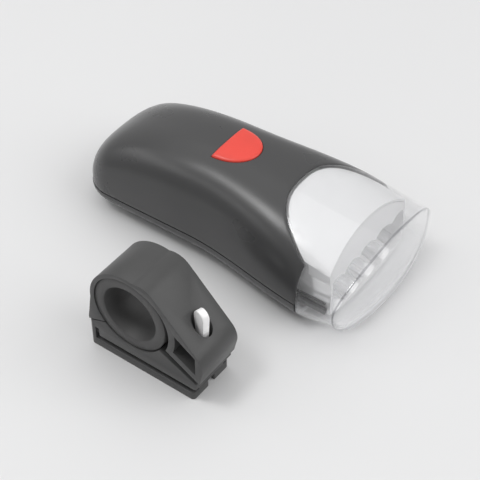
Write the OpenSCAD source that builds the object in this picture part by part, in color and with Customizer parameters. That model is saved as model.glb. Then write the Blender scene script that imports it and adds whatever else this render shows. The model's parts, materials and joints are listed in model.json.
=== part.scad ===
// Bicycle headlight with its handlebar bracket, in millimetres.
// The lamp lies along X with its beam towards +X and rests on the ground at z = 0.
// Its plane of symmetry is y = 0. The bracket stands beside it, towards -Y, with its bore along Y.

/* [Lamp body] */
// Length from the rear tip to the sides of the lens rim
side_len = 126; // [122:0.5:132]
// How far the front of the lens bows out at its middle
front_bow = 3.4; // [2:0.5:6]
// Width of the body behind the flare
body_w = 48.8; // [47:0.2:54]
// Width across the front of the lens
lens_w = 64; // [61:0.5:68]
// Height of the crown above the ground
crown_h = 40.3; // [39.5:0.1:44]
// Place of the crown's highest line, as a share of that length
crest_at = 0.46; // [0.42:0.002:0.5]
// Fall of the roof from the crown to the lens rim
roof_drop = 7.1; // [6:0.1:8.5]
// Length over which the roof rises at the rear, as a share of that length
roof_rise = 0.51; // [0.48:0.01:0.57]
// Length of the rounded rear end, seen from above
nose_run = 17; // [14:0.5:20]
// Length over which the belly rises at the rear
keel_run = 30; // [24:1:36]
// Where the flare towards the lens begins, as a share of that length
flare_at = 0.44; // [0.39:0.002:0.47]
// Distance from the end of the flare to the lens rim
flare_back = 8.5; // [5.5:0.5:13]
// Height of the parting line at the rear
part_rear = 9.4; // [9:0.1:11]
// Rise of the parting line from the rear to the lens edge
part_rise = 2.9; // [2:0.1:4]
// Height of the belly above the ground
belly_h = 1.7; // [1.2:0.1:2.4]
// Wall thickness of the two shells
wall = 2; // [1.6:0.1:2.4]
// Thickness of the shells' thinned front edge
edge_t = 1; // [0.8:0.1:1.2]
// Gap at the parting line
part_gap = 0.1; // [0.05:0.05:0.3]

/* [Shell screws] */
// Distance of the rear pair behind the crown's highest line
screw_rear = 12; // [9:1:15]
// Distance of the front pair behind the edge of the shells
screw_ahead = 21.7; // [19.7:0.5:24.7]
// Distance of the screws inside the outer wall
screw_inset = 7; // [6.4:0.1:7.4]
// Diameter of the screw shanks
shell_screw_d = 2.5; // [2:0.1:3]
// Diameter of the screw heads
shell_head_d = 5; // [4.6:0.1:5.4]
// Height of the screw heads
shell_head_h = 1.6; // [1.2:0.1:2]
// Length of the screws under the head
shell_screw_len = 11; // [9:0.5:13]

/* [Lens] */
// Distance from the edge of the shells to the lens rim, at the sides
edge_back = 17.3; // [15.5:0.1:18.5]
// Distance from the back of the lens tongue to the lens rim, on the roof
apex_back = 37; // [33:0.5:38]
// Angle round the section where the tongue meets the side edge
corner_a = 36; // [30:6:42]
// Height of the widest line of the lens rim
rim_z = 17.6; // [16.5:0.1:18.5]
// Height of the lower side of the lens rim
rim_low = 3; // [2.4:0.1:3.6]
// Thickness of the lens
lens_t = 2; // [1.6:0.1:2.4]
// Height of the bead round the lens rim
rim_bead = 0.6; // [0.4:0.1:1]
// Gap between the lens and the shell edge
lens_seam = 0.25; // [0.2:0.05:0.4]
// Length of the skirt that goes into the shells
skirt_len = 3; // [2:0.5:3]
// Thickness of the skirt
skirt_t = 1; // [0.8:0.1:1.2]
// Gap between the skirt and the shells
skirt_gap = 0.35; // [0.35:0.05:0.5]

/* [Reflector] */
// Distance from the outer lamps to the reflector's ends
lamp_side = 3.7; // [3.5:0.1:4.5]
// Mouth radius of each bowl
bowl_r = 8.2; // [7.6:0.1:8.4]
// Height of the row of bowls
bowl_z = 15; // [14.6:0.1:15.6]
// Depth of each bowl
bowl_depth = 16.5; // [15:0.5:17.5]
// Distance from the reflector's front face to the lens rim
reflector_back = 6.5; // [5:0.5:7.5]
// How far the reflector's front face leans back at its top
hood_lean = 2.8; // [1:0.2:4]
// Wall of the hood and of the ends
hood_t = 1.4; // [1.2:0.1:1.8]
// Gap between the reflector and the lens
hood_gap = 0.3; // [0.2:0.05:0.4]
// Diameter of the lamps
led_d = 5; // [4.8:0.1:5.2]
// Length of the lamps in front of their board
led_len = 8.6; // [8:0.1:9.4]
// Gap round the lamps in the reflector
led_gap = 0.2; // [0.1:0.05:0.3]
// Thickness of the lamp board
led_board_t = 1.6; // [1:0.1:1.8]
// Distance of the lamp board behind the bowls
led_back = 3.6; // [3.2:0.1:4]
// Height of the two head screws above the row of bowls
head_screw_up = 5.2; // [5:0.1:5.6]
// Diameter of those screws
head_screw_d = 2; // [1.8:0.1:2.2]

/* [Push button] */
// Distance of the button's straight edge behind the crown's highest line
button_back = 1.4; // [0:0.2:4]
// Length of the half-moon
button_len = 14; // [12:0.5:16]
// Width of the half-moon
button_w = 19.5; // [18:0.5:22]
// Height of the button above the roof
button_proud = 0.8; // [0.5:0.1:1.2]
// Gap between the button and the roof
button_gap = 0.25; // [0.2:0.05:0.4]
// Travel of the button
button_travel = 0.6; // [0.4:0.1:0.7]
// Width of the flange that keeps the button in
flange_w = 1.2; // [0.8:0.1:1.6]
// Thickness of that flange
flange_t = 1.2; // [1:0.1:1.4]
// Gap between that flange and the roof
flange_gap = 0.3; // [0.2:0.05:0.4]

/* [Battery tray] */
// Diameter of a cell
cell_d = 10.5; // [10:0.1:10.8]
// Length of a cell
cell_len = 44.5; // [43:0.5:45]
// Distance of the tray's rear end behind the crown's highest line
tray_back = 23; // [21:0.5:23]
// Thickness of the tray's end walls
tray_wall = 1.8; // [1.4:0.1:2]
// Thickness of the plate between the cells
tray_mid_t = 1.6; // [1.2:0.1:1.8]
// Gap round the cells
cell_gap = 0.2; // [0.1:0.05:0.3]
// Thickness of the contact strips
contact_t = 0.5; // [0.3:0.1:0.6]
// Height of the sprung hump in a contact strip
contact_hump = 2.5; // [2:0.1:3]
// Thickness of the switching board
board_t = 1.2; // [1:0.1:1.6]
// Side of the square switch body
switch_w = 6; // [5:0.1:7]
// Height of the switch body
switch_h = 3; // [2.6:0.1:3.2]
// Diameter of the switch plunger
plunger_d = 3.4; // [3:0.1:4]

/* [Slide rail] */
// Thickness of the bracket's foot plate
foot_t = 3.4; // [3:0.1:3.8]
// Height of the rail grooves above the foot plate
groove_h = 2.2; // [1.8:0.1:2.4]
// Depth of the rail grooves
groove_d = 2.9; // [2.4:0.1:3.2]
// Gap on each side of the rail in the lamp's slot
slide_gap = 0.2; // [0.1:0.05:0.3]
// Thickness of the stop that closes the grooves
foot_stop = 2.4; // [2:0.1:3]

/* [Bracket] */
// Diameter of the handlebar
bar_d = 22.2; // [21.6:0.1:22.6]
// Thickness of the split liner
liner_t = 4.1; // [3.7:0.1:4.2]
// Gap between the liner and the foot's cradle
liner_gap = 0.35; // [0.3:0.05:0.4]
// Width of the slit in the liner
liner_slit = 0.4; // [0.3:0.1:1.5]
// Thickness of the strap over the liner
strap_t = 1.7; // [1.5:0.1:2]
// Width of the bracket along the handlebar
bracket_w = 19.6; // [19:0.1:21]
// Height of the bore above the ground
bore_z = 25.3; // [25:0.1:26.4]
// Length of the foot behind the bore axis
foot_rear = 18.6; // [18.4:0.1:19.2]
// Length of the foot in front of the bore axis
foot_front = 27; // [26.8:0.1:27.6]
// Length of the wedge in front of the bore axis
wedge_front = 28.1; // [27.8:0.1:29]
// Length of the strap in front of the bore axis
strap_front = 30.9; // [30.4:0.1:31.2]
// Height of the wedge at its front end
wedge_tip = 8.7; // [8.6:0.1:9.2]
// Slope of the top of the wedge
wedge_a = 25.5; // [24:0.5:27]
// Gap between wedge and strap at the front end
clamp_gap_front = 1.8; // [1.4:0.1:2.2]
// Gap between wedge and strap beside the liner
clamp_gap_rear = 3.2; // [2.8:0.1:3.4]
// Direction that the slanted face looks in, above level
slant_a = 45; // [43:0.5:47]
// Height of the slanted face over the round top of the strap
slant_rise = 1.5; // [1.2:0.1:1.8]
// Depth of the hollows in the strap's sides
pocket_d = 5; // [3:0.1:5.4]
// Height of the split between strap and foot at the rear
split_z = 11.7; // [11.4:0.1:12.2]
// Slope of that split
split_a = 21.5; // [20:0.5:23]
// Width of that split
split_gap = 0.5; // [0.45:0.05:0.7]
// Rounding of the foot's corners
foot_r = 1.4; // [0.8:0.1:2]
// Room between the liner and the foot of the strap's box
strap_ease = 1.9; // [1.4:0.1:2.2]
// Place of the bracket's bore axis along X
bracket_x = 8.5; // [0:0.1:20]
// Distance from the lamp's middle to the bracket's near side
bracket_away = 58.7; // [50:0.1:80]

/* [Strap hinge] */
// Distance of the hinge pin behind the bore axis
pin_back = 14.9; // [14.8:0.1:15.2]
// Height of the hinge pin
pin_z = 8; // [7.8:0.1:8.2]
// Diameter of the hinge pin
pin_d = 2.5; // [2:0.1:2.8]
// Running gap round the pin in the strap
pin_gap = 0.06; // [0.03:0.01:0.09]
// Radius of the strap's hinge eye
eye_r = 2.9; // [2.6:0.1:3]
// Width of the hinge eye
eye_w = 9; // [7:0.2:10]
// Gap round the hinge eye
eye_gap = 0.3; // [0.2:0.05:0.4]
// Skin left in front of the blind pin hole
pin_skin = 1.4; // [1:0.1:2]

/* [Thumb screw] */
// Distance of the screw in front of the bore axis
screw_front = 23.5; // [23.3:0.1:23.7]
// Diameter of the screw shank
screw_d = 4; // [3.6:0.1:4.2]
// Lower end of the screw above the ground
screw_end = 2.2; // [1.6:0.1:3]
// Diameter of the well in the strap
well_d = 7.2; // [7:0.1:7.4]
// Height of the floor of that well
well_z = 17.2; // [17:0.1:17.6]
// Thickness of the strap under the washer
well_floor = 2.6; // [2.4:0.1:2.8]
// Diameter of the screw's collar
collar_d = 6; // [5.6:0.1:6.2]
// Height of the collar
collar_h = 1.4; // [1:0.1:1.8]
// Width of the spade at its top
spade_w = 5.4; // [5:0.1:5.6]
// Width of the spade at its root
spade_root = 3.8; // [3.2:0.1:4.4]
// Thickness of the spade
spade_t = 2.7; // [2.2:0.1:3]
// Height of the spade's top above the ground
spade_top = 34; // [32:0.5:36]
// Turn of the spade about the screw
spade_turn = -16; // [-40:1:40]
// Thickness of the washer
washer_t = 0.7; // [0.5:0.1:0.9]
// Thickness of the clip under the strap
clip_t = 0.7; // [0.5:0.1:0.8]
// Diameter of the threaded insert
insert_d = 6.4; // [6:0.1:6.6]
// Height of the threaded insert
insert_h = 3.4; // [3:0.1:3.6]
// Lower end of the insert above the ground
insert_z = 6; // [5.8:0.1:6.2]
// Room for the thread between screw and insert
thread_room = 0.4; // [0.35:0.05:0.5]

/* [Hidden] */
$fn = 64;
EPS = 0.01;
CUT = 40;

// Fullness of the rounded ends and sections: 2 is an ellipse, more is squarer.
PLAN_Q = 2.3;
ROOF_Q = 2.15;
BODY_Q = 2.8;
RIM_Q = 1.62;
LOWER_Q = 2.8;
DROP_Q = 2.4;
BLEND_Q = 3.5;
// Rings along the shells and degrees between points round a section
SHELL_RINGS = 24;
UPPER_STEP = 6;
LOWER_STEP = 9;
LOOP_STEP = 6;
// The rear tip is closed by a small flat this far from its end
TIP = 0.25;

BLACK = [0.1, 0.1, 0.105];
RED = [0.85, 0.16, 0.13];
SILVER = [0.85, 0.86, 0.88];
STEEL = [0.72, 0.73, 0.75];
GREEN = [0.1, 0.34, 0.2];

lamp_len = side_len + front_bow;
lamp_mid = lamp_len / 2;
rim_hw = lens_w / 2;
crest_x = crest_at * side_len;
roof_run = roof_rise * side_len;
flare_from = flare_at * side_len;
flare_to = side_len - flare_back;
edge_x = side_len - edge_back;
apex_x = side_len - apex_back;
reflector_front = side_len - reflector_back;
button_x = crest_x - button_back;
tray_x = crest_x - tray_back;

// Lamp surface

function smooth(t) = let (u = min(1, max(0, t))) u * u * (3 - 2 * u);
function cap(x, run, q) = x >= run ? 1 : pow(1 - pow(1 - max(0, x) / run, q), 1 / q);
function flare(x) = smooth((x - flare_from) / (flare_to - flare_from));
function part_z(x) = part_rear + part_rise * x / edge_x;
// Share of the way from the shells' edge to the lens rim
function rim_blend(x) = smooth((x - edge_x) / (side_len - edge_x));
// Half width, widest line, roof and keel at x, drawn in by d
function half_w(x, d = 0) =
    (body_w / 2 + (lens_w - body_w) / 2 * flare(x) - d) * cap(x - d, nose_run, PLAN_Q);
function waist_z(x) =
    let (k = min(x, side_len))
    part_z(k) + (rim_z - part_z(side_len)) * rim_blend(k);
function roof_z(x, d = 0) =
    let (e = waist_z(x), t = max(0, min(x, side_len) - crest_x) / (side_len - crest_x))
    e + (crown_h - roof_drop * pow(t, DROP_Q) - d - e) * cap(x - d, roof_run, ROOF_Q);
function keel_z(x, d = 0) =
    let (e = waist_z(x), low = belly_h + (rim_low - belly_h) * rim_blend(x))
    e - (e - low - d) * cap(x - d, keel_run, PLAN_Q);
// The section's upper half is full over the body and slopes more towards the rim
function upper_q(x) =
    let (t = min(1, max(0, x - crest_x) / (side_len - crest_x)))
    BODY_Q + (RIM_Q - BODY_Q) * pow(t, BLEND_Q);
// Roof and belly heights at a place (x, y)
function bulge(y, w, q) = pow(max(0, 1 - pow(min(1, abs(y) / w), q)), 1 / q);
function roof_at(x, y, d = 0) =
    let (e = waist_z(x)) e + (roof_z(x, d) - e) * bulge(y, half_w(x, d), upper_q(x));
function belly_at(x, y, d = 0) =
    let (e = waist_z(x)) e - (e - keel_z(x, d)) * bulge(y, half_w(x, d), LOWER_Q);
// Point of the section at x, at angle a from the +Y side over the top
function section(x, a, d = 0) =
    let (
        c = cos(a), s = sin(a), e = waist_z(x),
        q = 2 / (s >= 0 ? upper_q(x) : LOWER_Q),
        v = s >= 0 ? roof_z(x, d) - e : e - keel_z(x, d)
    )
    [x, half_w(x, d) * sign(c) * pow(abs(c), q), e + v * sign(s) * pow(abs(s), q)];
// Front edge of the shells: straight down the sides, arched back over the roof
function edge_at(a) =
    let (u = abs(a - 90) / (90 - corner_a))
    u < 1 ? apex_x + (edge_x - apex_x) * u * u : edge_x;
// Rear edge of the lens
function lens_back(a) = edge_at(a) + lens_seam;
// Bowed front of the lens
function bow_x(y) = side_len + front_bow * (1 - pow(y / rim_hw, 2));

// Surfaces built from rings of points

function flat(rows) = [for (r = rows) each r];
function quad(a, b, c, d) = [[a, b, c], [a, c, d]];

// A wall between two open grids: rings run from the rear tip to the front edge
module half_shell(outer, inner) {
    m = len(outer);
    n = len(outer[0]);
    k = m * n;
    f = (m - 1) * n;
    polyhedron(
        points = concat(flat(outer), flat(inner)),
        faces = [
            for (i = [0 : m - 2], j = [0 : n - 2])
                each quad(i * n + j, (i + 1) * n + j, (i + 1) * n + j + 1, i * n + j + 1),
            for (i = [0 : m - 2], j = [0 : n - 2])
                each quad(k + i * n + j, k + i * n + j + 1, k + (i + 1) * n + j + 1, k + (i + 1) * n + j),
            for (j = [0 : n - 2]) each quad(f + j, k + f + j, k + f + j + 1, f + j + 1),
            for (i = [0 : m - 2]) each quad(i * n, k + i * n, k + (i + 1) * n, (i + 1) * n),
            for (i = [0 : m - 2])
                each quad((i + 1) * n + n - 1, k + (i + 1) * n + n - 1, k + i * n + n - 1, i * n + n - 1),
            for (j = [1 : n - 2]) [0, j, j + 1],
            for (j = [1 : n - 2]) [k, k + j + 1, k + j],
            each quad(0, n - 1, k + n - 1, k)
        ]
    );
}

// A closed skin over rings that run from one end point to the other
module skin(start, rings, end) {
    m = len(rings);
    n = len(rings[0]);
    polyhedron(
        points = concat(flat(rings), [start, end]),
        faces = [
            for (i = [0 : m - 2], j = [0 : n - 1])
                let (h = (j + 1) % n) each quad(i * n + j, i * n + h, (i + 1) * n + h, (i + 1) * n + j),
            for (j = [0 : n - 1]) [m * n, (j + 1) % n, j],
            for (j = [0 : n - 1]) [m * n + 1, (m - 1) * n + j, (m - 1) * n + (j + 1) % n]
        ]
    );
}

// A slab between two depths under the roof, over a rectangle in plan
module roof_slab(x0, x1, hw, top, bottom, steps = 14) {
    n = steps + 1;
    k = n * n;
    function spot(i, j, d) =
        let (x = x0 + (x1 - x0) * i / steps, y = hw * (2 * j / steps - 1)) [x, y, roof_at(x, y, d)];
    polyhedron(
        points = [for (d = [top, bottom], i = [0 : steps], j = [0 : steps]) spot(i, j, d)],
        faces = [
            for (i = [0 : steps - 1], j = [0 : steps - 1])
                each quad(i * n + j, i * n + j + 1, (i + 1) * n + j + 1, (i + 1) * n + j),
            for (i = [0 : steps - 1], j = [0 : steps - 1])
                each quad(k + i * n + j, k + (i + 1) * n + j, k + (i + 1) * n + j + 1, k + i * n + j + 1),
            for (i = [0 : steps - 1]) each quad(i * n, (i + 1) * n, k + (i + 1) * n, k + i * n),
            for (i = [0 : steps - 1])
                each quad((i + 1) * n + steps, i * n + steps, k + i * n + steps, k + (i + 1) * n + steps),
            for (j = [0 : steps - 1]) each quad(j + 1, j, k + j, k + j + 1),
            for (j = [0 : steps - 1])
                each quad(steps * n + j, steps * n + j + 1, k + steps * n + j + 1, k + steps * n + j)
        ]
    );
}

// Shared shapes

module lamp_place() { translate([-lamp_mid, 0, 0]) children(); }
module bracket_place() { translate([bracket_x, -bracket_away - bracket_w, 0]) children(); }
// Extrudes a profile drawn in X and Z along Y, from y to y + w
module along_y(w, y = 0) { translate([0, y + w, 0]) rotate([90, 0, 0]) linear_extrude(w) children(); }
// Extrudes a profile drawn in Y and Z along X, from x to x + l
module along_x(l, x = 0) { translate([x, 0, 0]) rotate([90, 0, 90]) linear_extrude(l) children(); }
module block(low, high) { translate(low) cube(high - low); }
module both_sides() {
    children();
    mirror([0, 1, 0]) children();
}
module round_rect(w, h, r) {
    hull() for (x = [-1, 1], y = [-1, 1]) translate([x * (w / 2 - r), y * (h / 2 - r)]) circle(r, $fn = 32);
}

// Slide slot under the lamp, taken from the bracket's foot

foot_len = foot_rear + foot_front;
slot_len = foot_len - foot_stop;
slot_front = lamp_mid + slot_len / 2;
slot_rear = slot_front - slot_len;
lip_t = groove_h - 2 * slide_gap;
slot_roof = lip_t + foot_t + 2 * slide_gap;
slot_w = bracket_w + 2 * slide_gap;
neck_w = bracket_w - 2 * groove_d + 2 * slide_gap;
run_in_w = slot_w + 1;
shoe_w = run_in_w + 2 * wall;
shoe_top = slot_roof + wall;
shoe_rear = 5;

// Rings of a shell's wall: the last two span the thinned edge that takes the lens skirt

edge_lap = skirt_len + 1;
edge_ramp = 2.5;
EDGE_RING = SHELL_RINGS - 2;
function shell_x(i, tip, edge) =
    let (body_end = edge - edge_lap - edge_ramp)
    i < EDGE_RING ? tip + (body_end - tip) * pow(i / (EDGE_RING - 1), 1.5)
    : i == EDGE_RING ? edge - edge_lap : edge;
function shell_t(i) = i < EDGE_RING ? wall : edge_t;

// Shell screws

screw_spots = [for (x = [crest_x - screw_rear, edge_x - screw_ahead]) [x, half_w(x) - screw_inset]];
screw_seat = 4;
boss_t = 1.7;
boss_r = shell_screw_d / 2 + boss_t;
head_room = 0.3;
post_t = 0.9;
post_r = shell_head_d / 2 + head_room + post_t;
shank_room = 0.4;
drive = [3, 0.8];

// Arms that reach forward from the shells inside the lens

arm_t = 1.6;
arm_gap = 2.4;
skirt_in = edge_t + skirt_gap;
arm_out = half_w(edge_x) - skirt_in - skirt_t - arm_gap;
arm_h = 2;
arm_clear = 0.8;
arm_root = 10;
arm_tip = reflector_front - 1;
arm_inner = 0.5;
reflector_hw = arm_out - arm_t - arm_inner;

// Heights inside the lamp

touch_gap = 0.05;
tray_bottom = shoe_top + 0.5;
tray_mid_z = tray_bottom + cell_d + cell_gap + tray_mid_t / 2;
cell_rise = (cell_d + tray_mid_t) / 2 + cell_gap;
cell_side = cell_d / 2 + cell_gap;
contact_w = 7;
tray_top = tray_mid_z + cell_rise + cell_d / 2 + 0.1;
tray_rail = 1;
tray_hw = cell_side + cell_d / 2 + cell_gap + tray_rail;
bay_rear = tray_x + tray_wall;
bay_front = bay_rear + cell_len + 2 * contact_t + contact_hump + touch_gap;
tray_end = bay_front + tray_wall;
board_top = tray_top + board_t;
switch_x = button_x + 0.4 * button_len;
switch_top = board_top + switch_h;
plunger_out = 0.8;
plunger_top = switch_top + plunger_out;
plunger_in = 1.4;
plunger_gap = 0.06;

// Places in the lamp head

block_rear = reflector_front - bowl_depth;
led_face = block_rear - led_back;
led_hole = led_d / 2 + led_gap;
bulkhead_t = 2.6;
bulkhead_front = led_face - led_board_t;
bulkhead_rear = bulkhead_front - bulkhead_t;
bowl_pitch = (reflector_hw - lamp_side) / 2;
bowl_end = reflector_hw - hood_t;
head_screw_y = 1.5 * bowl_pitch;
head_screw_z = bowl_z + head_screw_up;
head_screw_bite = 2;
head_screw_head = 0.7 * head_screw_d;
head_boss_r = head_screw_d / 2 + 1.4;
// The lens wall is thick over its skirt, then thins down in front of it
skirt_lap = 1;
skirt_blend = 2.5;

function spread(i) = (i - 3) * bowl_pitch;

module upper_shell() {
    function ring(i, d, tip) = [
        for (a = [0 : UPPER_STEP : 180])
            let (x = shell_x(i, tip, edge_at(a)), p = section(x, a, d))
            [p.x, p.y, p.z + part_gap * bulge(p.z - waist_z(x), roof_z(x, d) - waist_z(x), BODY_Q)]
    ];
    steps = [0 : SHELL_RINGS - 1];
    color(BLACK) lamp_place() difference() {
        union() {
            half_shell([for (i = steps) ring(i, 0, TIP)], [for (i = steps) ring(i, shell_t(i), wall + TIP)]);
            both_sides() {
                for (p = screw_spots) upper_boss(p.x, p.y);
                arm(part_z(edge_x) + arm_clear);
            }
        }
        half_moon_prism(button_gap);
        both_sides() for (p = screw_spots) translate([p.x, p.y, 0])
            cylinder(d = shell_screw_d, h = part_z(p.x) + shell_screw_len - screw_seat);
    }
}

module upper_boss(x, y) {
    low = part_z(x) + part_gap;
    high = roof_at(x, y + boss_r) - wall / 2;
    translate([x, y, low]) cylinder(r = boss_r, h = high - low);
}

// A flat arm with its root against the shell wall
module arm(low) {
    inner = arm_out - arm_t;
    block([edge_x - arm_root, inner, low], [arm_tip, arm_out, low + arm_h]);
    block(
        [edge_x - arm_root, inner, low],
        [edge_x - skirt_len - 1, half_w(edge_x - arm_root) - wall / 2, low + arm_h]
    );
}

module lower_shell() {
    function ring(i, d, tip) = [
        for (a = [180 : LOWER_STEP : 360]) section(shell_x(i, tip, edge_x), a, d)
    ];
    steps = [0 : SHELL_RINGS - 1];
    color(BLACK) lamp_place() difference() {
        union() {
            half_shell([for (i = steps) ring(i, 0, TIP)], [for (i = steps) ring(i, shell_t(i), wall + TIP)]);
            shoe();
            both_sides() {
                for (p = screw_spots) lower_post(p.x, p.y);
                arm(part_z(edge_x) - arm_clear - arm_h);
            }
        }
        slide_slot();
        both_sides() for (p = screw_spots) screw_well(p.x, p.y);
    }
}

// The block that holds the slot, with the two rails that the lamp rests on
module shoe() {
    side = shoe_w / 2;
    front = slot_front + wall;
    bottom = [for (t = [0 : 0.125 : 1]) shoe_rear + (front - shoe_rear) * t];
    along_y(shoe_w, -side) polygon(concat(
        [for (x = bottom) [x, belly_at(x, side) + wall / 2]],
        [[front, shoe_top], [shoe_rear, shoe_top]]
    ));
    both_sides() block([slot_rear, neck_w / 2, 0], [front, side, belly_h + wall]);
}

// T-shaped slot, open towards the rear, with a run-in behind it
module slide_slot() {
    block([slot_rear - EPS, -neck_w / 2, -CUT], [slot_front, neck_w / 2, slot_roof]);
    block([slot_rear - EPS, -slot_w / 2, lip_t], [slot_front, slot_w / 2, slot_roof]);
    block([-CUT, -run_in_w / 2, -CUT], [slot_rear, run_in_w / 2, slot_roof]);
}

module lower_post(x, y) {
    low = belly_at(x, y + post_r) + wall / 2;
    translate([x, y, low]) cylinder(r = post_r, h = part_z(x) - low);
}

module screw_well(x, y) {
    seat = part_z(x) - screw_seat;
    translate([x, y, seat - CUT]) cylinder(d = shell_head_d + 2 * head_room, h = CUT);
    translate([x, y, seat - EPS]) cylinder(d = shell_screw_d + shank_room, h = CUT);
}

module shell_screws() {
    color(STEEL) lamp_place() both_sides() for (p = screw_spots)
        translate([p.x, p.y, part_z(p.x) - screw_seat]) difference() {
            union() {
                translate([0, 0, -shell_head_h]) cylinder(d = shell_head_d, h = shell_head_h);
                cylinder(d = shell_screw_d - 2 * touch_gap, h = shell_screw_len - touch_gap);
            }
            translate([0, 0, -shell_head_h - EPS]) for (a = [0, 90])
                rotate(a) translate([-drive.x / 2, -drive.y / 2, 0]) cube([drive.x, drive.y, drive.y]);
        }
}

// Half-moon outline of the button, grown by g: straight at the rear, round in front
module half_moon(g) {
    polygon([
        for (a = [-90 : 6 : 90])
            [button_x - g + (button_len + 2 * g) * cos(a), (button_w / 2 + g) * sin(a)]
    ]);
}

module half_moon_prism(g) {
    translate([0, 0, roof_z(crest_x) - CUT / 2]) linear_extrude(CUT) half_moon(g);
}

module button() {
    stem_d = 1.3 * plunger_d;
    reach = flange_w + button_gap + 1;
    x0 = button_x - reach;
    x1 = button_x + button_len + reach;
    hw = button_w / 2 + reach;
    under = wall + flange_gap;
    stem_low = plunger_top + touch_gap;
    color(RED) lamp_place() union() {
        intersection() {
            roof_slab(x0, x1, hw, -button_proud, under + flange_t / 2);
            half_moon_prism(0);
        }
        intersection() {
            roof_slab(x0, x1, hw, under, under + flange_t);
            half_moon_prism(button_gap + flange_w);
        }
        translate([switch_x, 0, stem_low])
            cylinder(d = stem_d, h = roof_z(switch_x) - under - flange_t / 2 - stem_low);
    }
}

module lens() {
    angles = [0 : LOOP_STEP : 359];
    // A ring t of the way from the lens edge to its front, drawn in by d
    function side(t, d, cut) = [
        for (a = angles)
            let (stop = bow_x(section(side_len, a, d).y) - cut)
            section(lens_back(a) + (stop - lens_back(a)) * t, a, d)
    ];
    // A ring at a fixed distance from the lens edge
    function ahead(by, d) = [for (a = angles) section(lens_back(a) + by, a, d)];
    function face(k, d, cut) = [
        for (a = angles)
            let (p = section(side_len, a, d), y = p.y * k) [bow_x(y) - cut, y, rim_z + (p.z - rim_z) * k]
    ];
    inside = skirt_in + skirt_t;
    bead_from = 0.3;
    bead_to = 1.6;
    bead_foot = 2.2;
    corner_t = 0.4;
    color([0.85, 0.9, 0.95, 0.4]) lamp_place() skin(
        [bow_x(0), 0, rim_z],
        concat(
            [for (k = [0.33, 0.66, 0.98]) face(k, 0, 0)],
            [face(1, -rim_bead, bead_from), face(1, -rim_bead, bead_to)],
            [for (t = [1, 0.86, 0.72, 0.58, 0.44, 0.3, 0.15, 0]) side(t, 0, bead_foot)],
            [ahead(0, skirt_in), ahead(-skirt_len, skirt_in), ahead(-skirt_len, inside)],
            [ahead(skirt_lap, inside), ahead(skirt_blend, lens_t)],
            [for (t = [0.32, 0.5, 0.66, 0.83, 1]) side(t, lens_t, lens_t + corner_t)],
            [for (k = [0.97, 0.66, 0.33]) face(k, lens_t, lens_t)]
        ),
        [bow_x(0) - lens_t, 0, rim_z]
    );
}

// Hood and bowl block in one moulding: the hood runs back under the lens tongue
module reflector() {
    angles = [0 : LOOP_STEP : 359];
    inside = skirt_in + skirt_t + hood_gap;
    step = skirt_blend + hood_gap;
    step_run = 1;
    tail_t = 0.4;
    screw_tip = 0.2;
    function held(p, hw) = [p.x, max(-hw, min(hw, p.y)), p.z];
    function front(a) = reflector_front - hood_lean * pow(max(0, sin(a)), 2);
    // A ring t of the way from the front face to the step under the lens edge
    function hood(t) = [
        for (a = angles)
            let (x = front(a) + (lens_back(a) + step + step_run - front(a)) * t)
            held(section(x, a, lens_t + hood_gap), reflector_hw)
    ];
    function ahead(by, d) = [for (a = angles) held(section(lens_back(a) + by, a, d), reflector_hw)];
    function rear(d, hw) = [
        for (a = angles) held(section(min(block_rear - tail_t, lens_back(a) - skirt_len), a, d), hw)
    ];
    function under(d, hw) = [for (a = angles) held(section(block_rear, a, d), hw)];
    color(SILVER) lamp_place() difference() {
        union() {
            skin(
                [reflector_front, 0, bowl_z],
                concat(
                    [for (t = [0, 0.33, 0.66, 1]) hood(t)],
                    [ahead(step, inside), rear(inside, reflector_hw)],
                    [rear(inside + hood_t, bowl_end), under(inside + hood_t, bowl_end)]
                ),
                [block_rear, 0, bowl_z]
            );
            both_sides() translate([led_face, head_screw_y, head_screw_z])
                rotate([0, 90, 0]) cylinder(r = head_boss_r, h = led_back + 1);
        }
        intersection() {
            for (i = [1 : 5]) bowl(spread(i));
            block([led_face, -bowl_end, 0], [reflector_front + 1, bowl_end, CUT]);
        }
        for (i = [1 : 5]) translate([led_face, spread(i), bowl_z])
            rotate([0, 90, 0]) cylinder(r = led_hole, h = led_len + led_gap);
        both_sides() translate([led_face - 1, head_screw_y, head_screw_z])
            rotate([0, 90, 0]) cylinder(d = head_screw_d, h = 1 + led_back + head_screw_bite + screw_tip);
    }
}

// Parabolic bowl with its lamp hole, turned about the beam direction
module bowl(y) {
    low = pow(led_hole, 2);
    function depth_at(r) = bowl_depth * (r * r - low) / (bowl_r * bowl_r - low);
    radii = [for (t = [0 : 0.125 : 1]) led_hole + (bowl_r - led_hole) * t];
    translate([block_rear, y, bowl_z]) rotate([0, 90, 0]) rotate_extrude() polygon(concat(
        [[0, -1], [led_hole, -1]],
        [for (r = radii) [r, depth_at(r)]],
        [[bowl_r, bowl_depth + 1], [0, bowl_depth + 1]]
    ));
}

// Round lamp with a base flange and a domed tip
module led(i) {
    r = led_d / 2;
    base_r = r + 0.15;
    base_t = 1;
    color([0.95, 0.95, 0.9]) lamp_place() translate([led_face, spread(i), bowl_z]) rotate([0, 90, 0])
        rotate_extrude() polygon(concat(
            [[0, 0], [base_r, 0], [base_r, base_t], [r, base_t]],
            [for (a = [0 : 10 : 90]) [r * cos(a), led_len - r + r * sin(a)]]
        ));
}

module led_board() {
    hw = 2 * bowl_pitch + 0.68 * led_d;
    low = bowl_z - 1.2 * led_d;
    high = head_screw_z + 1.3 * head_screw_d;
    color(GREEN) lamp_place() difference() {
        block([bulkhead_front, -hw, low], [led_face, hw, high]);
        head_screw_holes(bulkhead_front, led_board_t);
    }
}

// Holes for the two head screws through a plate of thickness t that begins at x
module head_screw_holes(x, t) {
    both_sides() translate([x - 1, head_screw_y, head_screw_z])
        rotate([0, 90, 0]) cylinder(d = head_screw_d + 0.2, h = t + 2);
}

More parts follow.
